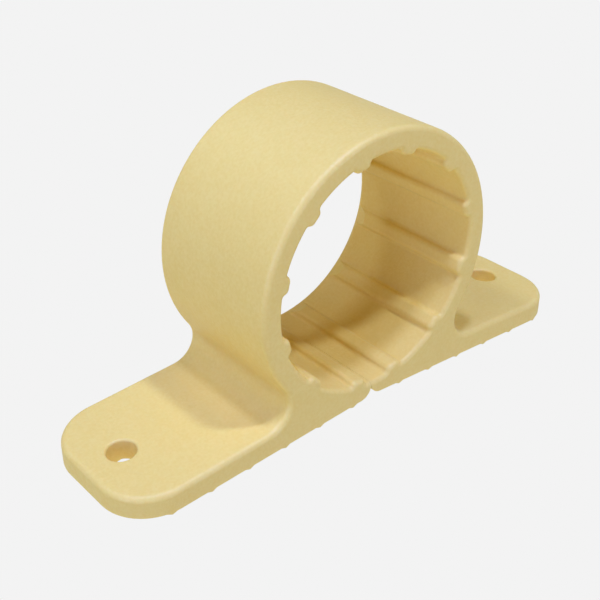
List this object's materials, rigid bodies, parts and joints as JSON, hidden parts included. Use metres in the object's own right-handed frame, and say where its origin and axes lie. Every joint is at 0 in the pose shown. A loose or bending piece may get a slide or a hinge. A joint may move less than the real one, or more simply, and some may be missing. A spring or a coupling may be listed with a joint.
{
  "type": "two-hole pipe strap",
  "caption": "one-piece moulded pipe strap: a split ring with ribs along its bore between sloping flat feet, each with a screw hole and gripping ridges across its sole",
  "frame": {"origin": "centre of the bounding box at its bottom: z = 0 is the flat surface that the outer ends of the feet stand on, midway between the two screw holes", "axes": "+X runs along the feet from one screw hole to the other, +Y runs along the pipe to the far mouth where the ribs run out, +Z points from the feet to the top of the ring"},
  "size_m": [0.0724, 0.0198, 0.037],
  "materials": {
    "strap_plastic": "pale ivory-yellow moulded plastic, satin, slightly translucent"
  },
  "bodies": {
    "root": {"pipe_strap": "strap_plastic"}
  },
  "joints": []
}
